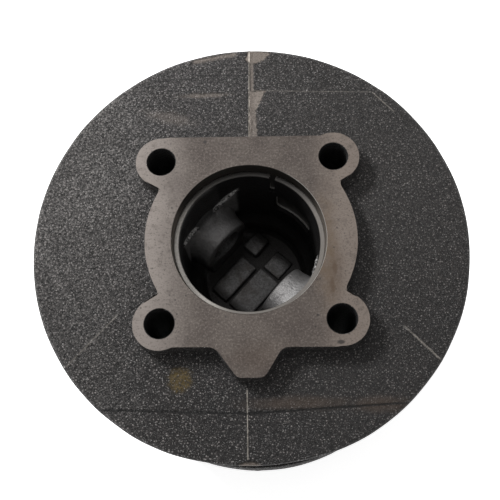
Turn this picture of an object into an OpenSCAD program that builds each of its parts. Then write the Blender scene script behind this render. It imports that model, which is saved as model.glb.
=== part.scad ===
// Air-cooled cylinder with its head cast in one piece, and the piston in its bore.
// Origin: centre of the bore on the machined crankcase flange. +Z points out of
// the flange towards the crankcase; the head end is at -Z. The exhaust port
// faces +Y, the inlet port +X and the transfer passage -Y.

/* [Bore and flange] */
// Bore diameter
bore_d = 48; // [47:0.5:49]
// Depth of the straight bore below the flange
bore_depth = 104; // [103.5:0.5:105]
// Chamfer at the mouth of the bore
bore_chamfer = 0.4; // [0.2:0.1:0.8]
// Spacing of the long bolts across the flange, along X
bolt_x = 54.8; // [54:0.2:56]
// Spacing of the long bolts along Y
bolt_y = 52.4; // [51.6:0.2:53.6]
// Diameter of the four through holes
bolt_hole_d = 9; // [8.5:0.1:9.5]
// Height of the flange pad above the first fin
pad_h = 5.2; // [4:0.2:6]
// Radius of the lobes round the bolt holes
lobe_r = 8.2; // [7.8:0.1:9]
// Outer radius of the barrel
barrel_r = 33; // [32:0.5:34]
// Turn of the cast outline against the drilled holes, degrees
cast_turn = -1.3; // [-2:0.1:0]

/* [Fins] */
// Radius of the round fins
fin_r = 68.6; // [67:0.2:71]
// Thickness of a fin
fin_t = 3; // [2.6:0.1:3.4]
// Distance from one round fin to the next
fin_pitch = 9.2; // [9:0.1:9.4]
// Number of round fins
fin_n = 12; // [12:1:12]
// Height of the raised band across the first fin
band_h = 0.5; // [0.3:0.1:0.8]
// Distance between the upright fins at the head end
head_fin_pitch = 11.5; // [11:0.25:12]
// Overall height of the casting
total_h = 138; // [136:1:142]

/* [Ports] */
// Height of the exhaust port's centre below the flange
exhaust_z = 55; // [54:0.5:56]
// Radius of the exhaust duct
exhaust_r = 11; // [10:0.5:11.5]
// Spacing of the exhaust fixing holes
exhaust_bolts = 42; // [40:1:44]
// Height of the inlet port's centre below the flange
inlet_z = 33; // [32:0.5:34]
// Radius of the inlet duct
inlet_r = 8.5; // [8:0.5:9]
// Spacing of the inlet fixing holes
inlet_bolts = 38; // [37:1:40]
// Distance of both port faces from the bore's axis
port_face = 62; // [61:0.5:62.5]
// Half width of the transfer passage
transfer_w = 9; // [8:0.5:10]

/* [Piston] */
// Radial clearance between the piston and the bore
piston_clear = 0.06; // [0.04:0.01:0.09]
// Length of the piston from skirt end to crown edge
piston_l = 50; // [50:0.5:51]
// Depth of the skirt end below the flange
skirt_drop = 4.8; // [4.8:0.1:5.2]
// Turn of the gudgeon pin axis from +X, degrees
pin_turn = -43; // [-50:1:-38]
// Gudgeon pin hole diameter
pin_d = 12; // [11:0.5:13]
// Height of the pin axis above the skirt end, into the piston
pin_h = 30; // [29.5:0.25:30.5]
// Gap between the pin bosses for the connecting rod
rod_gap = 24.4; // [23:0.2:25]
// Diameter of the pin bosses
boss_d = 20; // [19:0.5:20.5]
// Skirt wall thickness at its end
skirt_t = 1.8; // [1.6:0.1:2.2]
// Width of the expansion slot in the skirt
slot_w = 2; // [1.6:0.1:2.4]
// Direction of the expansion slot, degrees from +X
slot_dir = 70; // [66:1:74]

/* [Rings] */
// Height of a piston ring
ring_h = 1.8; // [1.6:0.1:1.8]
// Distance from one ring groove to the next
ring_step = 3.6; // [3.5:0.05:3.65]
// Gap between a ring's ends
ring_gap = 1.2; // [0.8:0.1:1.6]

/* [Transfer cover] */
// Width of the cover plate
cover_w = 38; // [37:0.5:38.5]
// Height of the cover plate
cover_h = 62; // [61:0.5:63]
// Thickness of the cover plate
cover_t = 3.5; // [3:0.25:4]
// Thickness of its gasket
gasket_t = 0.6; // [0.4:0.1:0.8]

/* [Hidden] */
$fn = 96;
e = 0.01;
bore_r = bore_d / 2;
barrel_x = 0.6;
wall_r = barrel_r - 0.8;                         // outer radius of the wall between the fins
column_r = lobe_r - 0.4;                         // radius of the columns round the long bolts
fin_top = -pad_h - band_h;                       // top of the lowest level of the first fin
last_fin = fin_top - (fin_n - 1) * fin_pitch - fin_t;
head_z = -119;                                   // outer face of the head wall
seat_z = -126;                                   // spark plug seat
nut_z = -120;                                    // seats of the long bolts' nuts
plug_r = 6.4;                                    // core radius of the plug thread
cover_y = -50;                                   // machined face of the transfer passage
cover_z = -42;
screw_x = 14;
screw_z = [26, 0, -26];
piston_r = bore_r - piston_clear;
skirt_z = -skirt_drop;
crown_z = skirt_z - piston_l;
pin_z = skirt_z - pin_h;
ring_out = bore_r - 0.03;
ring_in = 21.8;
groove_r = 21.5;

function bolt_pos() = [for (x = [-1, 1], y = [-1, 1]) [x * bolt_x / 2, y * bolt_y / 2]];

// ---------- casting ----------

// Cast outline of the crankcase flange: the barrel, a lobe round each long bolt,
// straight webs between the lobes and the foot of the transfer passage.
module flange_outline() {
    translate([barrel_x, 0]) circle(r = barrel_r);
    for (p = bolt_pos()) translate(p) circle(r = lobe_r);
    rotate(cast_turn) square([54, 68.2], center = true);
    polygon([[-12.5, -33], [-10.3, -35.5], [-7.2, -39.2], [-5.2, -41.9], [-4.2, -42.8],
             [-3, -43.2], [1.8, -43.2], [3.6, -42.7], [5.4, -41.1], [7.6, -38],
             [9.8, -35.2], [12.5, -33]]);
}

// Half section of the finned barrel: the wall with one tooth for each round fin.
function fin_profile() = concat(
    [[0, -4], [wall_r, -4]],
    [for (i = [0 : fin_n - 1], k = [0 : 3])
        let (z = fin_top - i * fin_pitch - (k > 1 ? fin_t : 0))
        [(k == 0 || k == 3) ? wall_r : fin_r, z]],
    [[wall_r, head_z], [0, head_z]]);

module finned_barrel() {
    rotate_extrude($fn = 180) polygon(fin_profile());
    // raised band across the first fin, left between two straight mould steps
    intersection() {
        translate([0, 0, fin_top - 1]) cylinder(r = fin_r - 0.3, h = 1 + band_h, $fn = 180);
        translate([0, 0, fin_top - 1.5]) rotate(cast_turn)
            translate([-fin_r - 5, -51.4]) cube([2 * fin_r + 10, 103.8, 1.5 + band_h]);
    }
}

// Upright parallel fins that cool the head; their tips are level.
module head_fins() {
    for (j = [-5 : 5]) let (y = abs(j) * head_fin_pitch + fin_t / 2, w = sqrt(fin_r * fin_r - y * y) - 0.6)
        translate([-w, j * head_fin_pitch - fin_t / 2, -total_h])
            cube([2 * w, fin_t, total_h + last_fin + 1]);
}

// An oval port flange with two ears, drawn in a plane, ears along the plane's X.
module port_outline(body_r, ear_x, ear_r) {
    a = acos((body_r - ear_r) / ear_x);          // angle of the tangent between the circles
    circle(r = body_r);
    for (s = [-1, 1]) translate([s * ear_x, 0]) circle(r = ear_r);
    b = body_r - 0.2;
    r = ear_r - 0.2;
    polygon([[b * cos(a), b * sin(a)], [ear_x + r * cos(a), r * sin(a)],
             [ear_x + r * cos(a), -r * sin(a)], [b * cos(a), -b * sin(a)],
             [-b * cos(a), -b * sin(a)], [-ear_x - r * cos(a), -r * sin(a)],
             [-ear_x - r * cos(a), r * sin(a)], [-b * cos(a), b * sin(a)]]);
}

// Stub along +Y at the origin's height: a neck and its flange.
module port_stub(body_r, ear_x, ear_r, plate) {
    translate([0, port_face - 1, 0]) rotate([90, 0, 0]) linear_extrude(port_face - 27) circle(r = body_r - 1);
    translate([0, port_face, 0]) rotate([90, 0, 0]) linear_extrude(plate) port_outline(body_r, ear_x, ear_r);
}

// Hollow of a port along +Y: duct, window into the bore and two fixing holes.
module port_hollow(duct_r, win_w, win_h, ear_x, tap_r, tap_l) {
    translate([0, 30, 0]) rotate([-90, 0, 0]) cylinder(r = duct_r, h = port_face - 29);
    translate([-win_w / 2, 15, -win_h / 2]) cube([win_w, 16, win_h]);
    for (s = [-1, 1]) translate([s * ear_x, port_face + 1, 0]) rotate([90, 0, 0])
        cylinder(r = tap_r, h = tap_l + 1, $fn = 48);
}

module cylinder_casting() {
    color([0.36, 0.36, 0.37])
    difference() {
        union() {
            difference() {
                union() {
                    finned_barrel();
                    head_fins();
                }
                // room in front of each port flange and of the transfer cover
                translate([-32, 51, -exhaust_z - 19]) cube([64, 30, 38]);
                translate([51, -28, -inlet_z - 17.5]) cube([30, 56, 34]);
                translate([-cover_w / 2 - 2.5, -80, cover_z - cover_h / 2 - 4]) cube([cover_w + 5, 80 + cover_y + 0.5, cover_h + 4.5]);
            }
            translate([0, 0, fin_top - 1.2]) linear_extrude(-fin_top + 1.2) flange_outline();
            for (p = bolt_pos()) translate([p[0], p[1], nut_z]) cylinder(r = column_r, h = fin_top - 0.8 - nut_z, $fn = 48);
            translate([0, 0, seat_z]) cylinder(r = 13, h = 20);
            // webs joining the bolt columns to the barrel at the head end
            for (s = [-1, 1]) translate([-bolt_x / 2, s * bolt_y / 2 - 3, nut_z + 0.5]) cube([bolt_x, 6, 9]);
            translate([0, 0, -exhaust_z]) port_stub(17, exhaust_bolts / 2, 7.5, 9.5);
            translate([0, 0, -inlet_z]) rotate(-90) port_stub(13.5, inlet_bolts / 2, 6.5, 8.5);
            // housing of the transfer passage
            translate([-cover_w / 2 - 0.5, cover_y, cover_z - cover_h / 2 - 3]) cube([cover_w + 1, 30, cover_h + 6]);
        }
        // bore, chamfer and combustion space
        translate([0, 0, -bore_depth]) cylinder(r = bore_r, h = bore_depth + 1, $fn = 180);
        translate([0, 0, -bore_chamfer]) cylinder(r1 = bore_r, r2 = bore_r + bore_chamfer + 0.1, h = bore_chamfer + 0.1, $fn = 180);
        translate([0, 0, -bore_depth - 3]) cylinder(r = 20.5, h = 4);
        translate([0, 0, -bore_depth - 9]) cylinder(r1 = 12, r2 = 20.5, h = 6);
        // spark plug thread and the room round its seat
        translate([0, 0, seat_z - 1]) cylinder(r = plug_r, h = 20);
        translate([0, 0, -total_h - 1]) cylinder(r = 15, h = total_h + 1 + seat_z);
        // long bolt holes and the room for their nuts
        for (p = bolt_pos()) translate([p[0], p[1], 0]) {
            translate([0, 0, -total_h]) cylinder(d = bolt_hole_d, h = total_h + 1, $fn = 64);
            translate([0, 0, -total_h - 1]) cylinder(r = 10, h = total_h + 1 + nut_z, $fn = 48);
        }
        translate([0, 0, -exhaust_z]) port_hollow(exhaust_r, 18, 12, exhaust_bolts / 2, 3.4, 14);
        translate([0, 0, -inlet_z]) rotate(-90) port_hollow(inlet_r, 12, 12, inlet_bolts / 2, 2.5, 12);
        // transfer passage: a pocket behind the cover, a low and a high window
        translate([-transfer_w, cover_y - 1, -66]) cube([2 * transfer_w, 15, 53]);
        translate([-transfer_w, -38, -25]) cube([2 * transfer_w, 23, 12]);
        translate([-transfer_w, -38, -61]) cube([2 * transfer_w, 23, 11]);
        for (s = [-1, 1], z = screw_z) translate([s * screw_x, cover_y + 12, cover_z + z]) rotate([90, 0, 0])
            cylinder(r = 2.5, h = 13, $fn = 32);
    }
}

// ---------- piston ----------

module in_piston_frame() { rotate(pin_turn) children(); }

module piston() {
    color([0.66, 0.65, 0.62])
    union() {
        difference() {
            translate([0, 0, crown_z]) cylinder(r = piston_r, h = piston_l, $fn = 180);
            // ring grooves
            for (i = [0 : 2]) translate([0, 0, groove_z(i)]) difference() {
                cylinder(r = piston_r + 1, h = ring_h + 0.1, $fn = 180);
                translate([0, 0, -1]) cylinder(r = groove_r, h = ring_h + 2.1, $fn = 180);
            }
            // hollow of the piston, leaving the two pin bosses and their struts
            difference() {
                rotate_extrude($fn = 180) polygon([
                    [0, crown_z + 5], [16, crown_z + 5], [18.6, crown_z + 7], [18.6, crown_z + 12],
                    [piston_r - skirt_t, crown_z + 16], [piston_r - skirt_t, skirt_z + 1], [0, skirt_z + 1]
                ]);
                in_piston_frame() for (s = [-1, 1]) {
                    translate([s * (rod_gap / 2 + 8), 0, pin_z]) rotate([0, 90, 0])
                        cylinder(d = boss_d, h = 16, center = true, $fn = 64);
                    translate([s * (rod_gap / 2 + 8.2) - 8, -8.5, crown_z + 3]) cube([16, 17, pin_z - crown_z - 3]);
                }
                // register band at the skirt end is thicker on one side
                difference() {
                    translate([0, 0, skirt_z - 3]) cylinder(r = piston_r, h = 3);
                    translate([0.35, 0.35, skirt_z - 4]) cylinder(r = piston_r - skirt_t - 0.1, h = 5);
                    rotate(141) translate([0, -60, skirt_z - 4]) cube([60, 60, 5]);
                    rotate(10) translate([-60, -0, skirt_z - 4]) cube([120, 60, 5]);
                }
            }
            // gudgeon pin hole and the circlip grooves
            in_piston_frame() {
                translate([0, 0, pin_z]) rotate([0, 90, 0]) cylinder(d = pin_d, h = 60, center = true, $fn = 64);
                for (s = [-1, 1]) translate([s * 20, 0, pin_z]) rotate([0, 90, 0])
                    cylinder(d = pin_d + 1.4, h = 1.1, center = true, $fn = 64);
                // gas windows in the skirt, one on each side between the bosses
                for (s = [-1, 1]) translate([-8, s * 20 - 8, skirt_z - 26]) cube([16, 16, 13]);
            }
            // expansion slot
            rotate(slot_dir) translate([piston_r - 6, -slot_w / 2, skirt_z - 11]) cube([8, slot_w, 12]);
            // crown edge
            translate([0, 0, crown_z - e]) difference() {
                cylinder(r = piston_r + 1, h = 0.6);
                translate([0, 0, -e]) cylinder(r1 = piston_r - 0.6, r2 = piston_r, h = 0.6 + 3 * e);
            }
        }
        // deflector on the crown
        intersection() {
            translate([0, 0, crown_z - 6]) cylinder(r1 = 11, r2 = 15, h = 6.5);
            in_piston_frame() translate([-20, -9, crown_z - 6]) cube([40, 9, 7]);
        }
    }
}

// ---------- rings ----------

function groove_z(i) = crown_z + 3.5 + i * ring_step;

module piston_ring(i, gap_dir) {
    color([0.5, 0.5, 0.52])
    translate([0, 0, groove_z(i) + 0.05]) difference() {
        cylinder(r = ring_out, h = ring_h, $fn = 180);
        translate([0, 0, -1]) cylinder(r = ring_in, h = ring_h + 2, $fn = 180);
        rotate(gap_dir) translate([15, -ring_gap / 2, -1]) cube([12, ring_gap, ring_h + 2]);
    }
}
module top_ring() { piston_ring(0, 45); }
module second_ring() { piston_ring(1, 165); }
module third_ring() { piston_ring(2, 285); }

// ---------- transfer passage cover ----------

module cover_outline() {
    r = 5;
    square([cover_w, cover_h - 2 * r], center = true);
    square([cover_w - 2 * r, cover_h], center = true);
    for (x = [-1, 1], y = [-1, 1]) translate([x * (cover_w / 2 - r), y * (cover_h / 2 - r)]) circle(r = r, $fn = 48);
}

// A plate of thickness t whose inner face lies at y = y0, along -Y.
module cover_plate(y0, t) {
    translate([0, y0, cover_z]) rotate([90, 0, 0]) linear_extrude(t) children();
}

module screw_holes(r) {
    for (s = [-1, 1], z = screw_z) translate([s * screw_x, z]) circle(r = r, $fn = 32);
}

module cover_gasket() {
    color([0.32, 0.3, 0.27])
    cover_plate(cover_y, gasket_t) difference() {
        cover_outline();
        screw_holes(2.5);
        translate([-transfer_w, -66 - cover_z]) square([2 * transfer_w, 53]);
    }
}

module transfer_cover() {
    color([0.45, 0.45, 0.46])
    union() {
        cover_plate(cover_y - gasket_t, cover_t) difference() {
            cover_outline();
            screw_holes(2.5);
        }
        // stiffening boss along the middle
        cover_plate(cover_y - gasket_t - cover_t + 0.5, 3) union() {
            square([11, 40], center = true);
            for (s = [-1, 1]) translate([0, s * 20]) circle(d = 11, $fn = 48);
        }
    }
}

module cover_screws() {
    head_y = cover_y - gasket_t - cover_t;
    color([0.4, 0.4, 0.42])
    for (s = [-1, 1], z = screw_z) translate([s * screw_x, head_y, cover_z + z]) {
        rotate([-90, 0, 0]) cylinder(r = 2.45, h = cover_t + gasket_t + 10, $fn = 32);
        rotate([90, 30, 0]) cylinder(r = 4.6, h = 3.4, $fn = 6);
    }
}

cylinder_casting();
piston();
top_ring();
second_ring();
third_ring();
transfer_cover();
cover_gasket();
cover_screws();
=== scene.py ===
import math
import bpy
import bmesh
import numpy as np
from mathutils import Matrix, Vector, noise


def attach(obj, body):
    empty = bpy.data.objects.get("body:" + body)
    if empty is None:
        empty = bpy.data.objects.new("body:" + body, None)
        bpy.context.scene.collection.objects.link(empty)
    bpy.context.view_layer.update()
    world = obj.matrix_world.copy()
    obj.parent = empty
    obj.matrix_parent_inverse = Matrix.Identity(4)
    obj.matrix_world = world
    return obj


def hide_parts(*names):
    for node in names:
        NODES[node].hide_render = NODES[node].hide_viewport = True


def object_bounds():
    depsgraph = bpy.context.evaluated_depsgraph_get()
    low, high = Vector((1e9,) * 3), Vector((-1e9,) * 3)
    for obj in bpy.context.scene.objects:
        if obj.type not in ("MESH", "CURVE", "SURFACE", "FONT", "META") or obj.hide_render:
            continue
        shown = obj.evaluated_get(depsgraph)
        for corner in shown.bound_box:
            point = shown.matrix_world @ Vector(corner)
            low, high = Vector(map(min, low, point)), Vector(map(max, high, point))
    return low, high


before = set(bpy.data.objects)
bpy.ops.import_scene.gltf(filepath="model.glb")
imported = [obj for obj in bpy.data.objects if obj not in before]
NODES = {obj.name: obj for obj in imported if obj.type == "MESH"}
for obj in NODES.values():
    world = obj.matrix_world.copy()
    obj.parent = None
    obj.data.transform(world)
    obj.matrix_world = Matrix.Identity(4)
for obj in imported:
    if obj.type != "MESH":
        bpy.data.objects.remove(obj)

CAD_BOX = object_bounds()
MM = 0.001
D = bpy.data

# ------------------------------------------------------------------ sizes (mm)
BORE_R = 24.0
BOLT = [(sx * 27.4, sy * 26.2) for sx in (-1, 1) for sy in (-1, 1)]
FIN_R = 68.6
FIN_T = 3.0
PITCH = 9.2
FIN_N = 12
BAND_Z = -5.2
LOW_Z = -5.7
TURN = math.radians(-1.3)


# ------------------------------------------------------------------ mesh tools
def new_obj(name, verts, faces, smooth=True):
    me = D.meshes.new(name)
    me.from_pydata([tuple(v) for v in verts], [], [tuple(f) for f in faces])
    me.update()
    ob = D.objects.new(name, me)
    bpy.context.scene.collection.objects.link(ob)
    if smooth:
        me.polygons.foreach_set("use_smooth", [True] * len(me.polygons))
    return ob


def grid_obj(name, rings, cap_lo=True, cap_hi=True, smooth=True):
    """A closed skin through rings of equal length (mm), each a closed loop."""
    rings = [np.asarray(r, float) * MM for r in rings]
    n = len(rings[0])
    verts = np.vstack(rings)
    i = np.arange(n)
    j = (i + 1) % n
    faces = []
    for k in range(len(rings) - 1):
        a, b = k * n, (k + 1) * n
        faces.append(np.c_[a + i, a + j, b + j, b + i])
    faces = np.vstack(faces).tolist()
    verts = verts.tolist()
    if cap_lo:
        verts.append(np.mean(rings[0], axis=0).tolist())
        c = len(verts) - 1
        faces += [[c, int(q), int(p)] for p, q in zip(i, j)]
    if cap_hi:
        verts.append(np.mean(rings[-1], axis=0).tolist())
        c = len(verts) - 1
        b = (len(rings) - 1) * n
        faces += [[c, int(b + p), int(b + q)] for p, q in zip(i, j)]
    ob = new_obj(name, verts, faces, smooth)
    fix_normals(ob)
    return ob


def fix_normals(ob):
    bm = bmesh.new()
    bm.from_mesh(ob.data)
    bmesh.ops.recalc_face_normals(bm, faces=bm.faces)
    bm.to_mesh(ob.data)
    bm.free()


def lathe(name, prof, n=128, axis="Z", centre=(0, 0, 0), turn=0.0):
    """Solid of revolution of a closed half section [(r, h), ...] that starts and ends on the axis (mm)."""
    ang = np.linspace(0, 2 * math.pi, n, endpoint=False) + turn
    rings = []
    for r, h in prof:
        if r > 1e-6:
            rings.append(np.c_[r * np.cos(ang), r * np.sin(ang), np.full(n, h)])
    ob = grid_obj(name, rings)
    if axis == "X":
        ob.data.transform(Matrix.Rotation(math.pi / 2, 4, "Y"))
    elif axis == "Y":
        ob.data.transform(Matrix.Rotation(-math.pi / 2, 4, "X"))
    ob.data.transform(Matrix.Translation(Vector(centre) * MM))
    return ob


def block(name, lo, hi, bevel=0.0, turn=0.0, seg=2):
    """A box from lo to hi (mm), its edges rounded, turned about Z through the origin."""
    bm = bmesh.new()
    bmesh.ops.create_cube(bm, size=1)
    lo, hi = np.array(lo, float), np.array(hi, float)
    for v in bm.verts:
        v.co = Vector(((lo + hi) / 2 + np.array(v.co) * (hi - lo)) * MM)
    if bevel:
        bmesh.ops.bevel(bm, geom=bm.edges[:], offset=bevel * MM, segments=seg, profile=0.5, affect="EDGES")
    me = D.meshes.new(name)
    bm.to_mesh(me)
    bm.free()
    if turn:
        me.transform(Matrix.Rotation(turn, 4, "Z"))
    ob = D.objects.new(name, me)
    bpy.context.scene.collection.objects.link(ob)
    return ob


def prism(name, pts, z0, z1, bevel=0.0, axis="Z", at=0.0, seg=2):
    """An extruded outline (mm), optionally rounded at both ends. axis is not used."""
    bm = bmesh.new()
    vs = [bm.verts.new((x * MM, y * MM, z0 * MM)) for x, y in pts]
    f = bm.faces.new(vs)
    r = bmesh.ops.extrude_face_region(bm, geom=[f])
    bmesh.ops.translate(bm, verts=[g for g in r["geom"] if isinstance(g, bmesh.types.BMVert)], vec=(0, 0, (z1 - z0) * MM))
    bmesh.ops.recalc_face_normals(bm, faces=bm.faces)
    if bevel:
        ed = [e for e in bm.edges if abs(e.verts[0].co.z - e.verts[1].co.z) < 1e-9]
        bmesh.ops.bevel(bm, geom=ed, offset=bevel * MM, segments=seg, profile=0.5, affect="EDGES")
    me = D.meshes.new(name)
    bm.to_mesh(me)
    bm.free()
    ob = D.objects.new(name, me)
    bpy.context.scene.collection.objects.link(ob)
    return ob


def boolean(ob, other, op, keep=False):
    m = ob.modifiers.new("b", "BOOLEAN")
    m.operation = op
    m.solver = "MANIFOLD"
    m.object = other
    dg = bpy.context.evaluated_depsgraph_get()
    me = D.meshes.new_from_object(ob.evaluated_get(dg))
    ob.modifiers.clear()
    old = ob.data
    ob.data = me
    D.meshes.remove(old)
    if not keep:
        D.objects.remove(other)
    return ob


def cut(ob, *others):
    for o in others:
        boolean(ob, o, "DIFFERENCE")
    return ob


def add(ob, *others):
    for o in others:
        boolean(ob, o, "UNION")
    return ob


def join(obs):
    """Several objects become one mesh."""
    bm = bmesh.new()
    for o in obs:
        bm.from_mesh(o.data)
    me = D.meshes.new(obs[0].name)
    bm.to_mesh(me)
    bm.free()
    first = obs[0]
    old = first.data
    first.data = me
    D.meshes.remove(old)
    for o in obs[1:]:
        D.objects.remove(o)
    return first


def sharp_by_angle(ob, deg=32):
    me = ob.data
    bm = bmesh.new()
    bm.from_mesh(me)
    for f in bm.faces:
        c = f.calc_center_median().z
        f.smooth = not (f.normal.z > 0.9999 and c > -1e-5)
    lim = math.radians(deg)
    for e in bm.edges:
        if len(e.link_faces) == 2:
            e.smooth = e.calc_face_angle(0) < lim
        else:
            e.smooth = False
    bm.to_mesh(me)
    bm.free()


# ------------------------------------------------------------------ flange outline
def outline_field(x, y):
    """Signed distance (mm, roughly) to the cast outline of the flange, negative inside."""
    c, s = math.cos(-TURN), math.sin(-TURN)

    def smin(a, b, k):
        h = np.clip(0.5 + 0.5 * (b - a) / k, 0, 1)
        return b + (a - b) * h - k * h * (1 - h)

    d = np.hypot(x - 0.6, y) - 33.0
    for bx, by in BOLT:
        d = smin(d, np.hypot(x - bx, y - by) - 8.3, 2.6)
    xr, yr = c * x - s * y, s * x + c * y
    qx, qy = np.abs(xr) - 27.0, np.abs(yr) - 34.1
    box = np.hypot(np.maximum(qx, 0), np.maximum(qy, 0)) + np.minimum(np.maximum(qx, qy), 0)
    d = np.minimum(d, box)
    # foot of the transfer passage: a tapered tongue with a blunt nose
    left = -0.816 * (x + 9.7) - 0.579 * (y + 35.5)
    right = 0.847 * (x - 8.5) - 0.533 * (y + 35.8)
    tng = -smin(-left, -right, 0.5)
    tng = -smin(-tng, y + 43.15, 1.3)
    tng = np.maximum(tng, y + 27.0)
    return smin(d, tng, 1.8)


def flange_outline(n=1100):
    th = np.linspace(0, 2 * math.pi, 7200, endpoint=False)
    lo, hi = np.full_like(th, 20.0), np.full_like(th, 55.0)
    # walk inwards from outside to the first point inside
    r = hi.copy()
    for _ in range(400):
        f = outline_field(r * np.cos(th), r * np.sin(th))
        r = np.where(f > 0.002, r - np.maximum(f * 0.5, 0.002), r)
    p = np.c_[r * np.cos(th), r * np.sin(th)]
    seg = np.linalg.norm(np.roll(p, -1, 0) - p, axis=1)
    s = np.r_[0, np.cumsum(seg)]
    q = np.vstack([p, p[:1]])
    t = np.linspace(0, s[-1], n, endpoint=False)
    out = np.c_[np.interp(t, s, q[:, 0]), np.interp(t, s, q[:, 1])]
    for _ in range(3):
        out = 0.25 * np.roll(out, 1, 0) + 0.5 * out + 0.25 * np.roll(out, -1, 0)
    return out


def loop_normals(p):
    t = np.roll(p, -1, 0) - np.roll(p, 1, 0)
    t /= np.linalg.norm(t, axis=1)[:, None]
    return np.c_[t[:, 1], -t[:, 0]]


def smooth_noise(x, y, z, size, seed=0.0):
    """Perlin noise at points in mm, feature size in mm."""
    f = 1.0 / size
    return np.array([noise.noise(Vector((a * f + seed, b * f + seed * 1.7, c * f - seed))) for a, b, c in zip(x, y, z)])


def ramp01(t):
    t = np.clip(t, 0, 1)
    return t * t * (3 - 2 * t)


def seg_dist(x, y, a, b):
    """Distance to a segment and place along it."""
    ax, ay = a
    bx, by = b
    dx, dy = bx - ax, by - ay
    L2 = dx * dx + dy * dy
    t = np.clip(((x - ax) * dx + (y - ay) * dy) / L2, 0, 1)
    return np.hypot(x - ax - t * dx, y - ay - t * dy), t


TOP_LINE = [(-75.0, 54.6), (-0.2, 53.2), (41.8, 51.0), (48.6, 43.4), (75.0, 14.0)]
LOW_LINE = [(-75.0, -49.0), (-2.4, -52.7), (75.0, -49.4)]


def line_y(pts, x):
    return np.interp(x, [p[0] for p in pts], [p[1] for p in pts])


def fin_height(x, y):
    """Height of the first fin's cast face (mm)."""
    up = y - line_y(TOP_LINE[:3], x)
    dn = line_y(LOW_LINE, x) - y
    h = np.full_like(x, BAND_Z)
    h -= 0.42 * ramp01(dn / 0.55 + 0.5)
    h -= 0.16 * ramp01(up / 0.9 + 0.5)
    # mould parting flash, upright through the middle
    xo = 1.2 + 0.25 * np.sin(y * 0.5) + 0.12 * np.sin(y * 1.9 + 1)
    flash = np.exp(-((x - xo) / 0.33) ** 2)
    h += np.where(y > 33, 0.28, 0.0) * flash * (0.75 + 0.25 * np.sin(y * 2.3))
    xl = -1.6 + 0.15 * np.sin(y * 0.7)
    h += np.where(y < -44, 0.22, 0.0) * np.exp(-((x - xl) / 0.3) ** 2)
    for a, b, k in (((-56.2, -37.6), (-41.0, -21.9), 0.16), ((46.3, -28.0), (56.3, -38.4), 0.3)):
        d, _ = seg_dist(x, y, a, b)
        h += k * np.exp(-(d / 0.42) ** 2)
    return h


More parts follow.
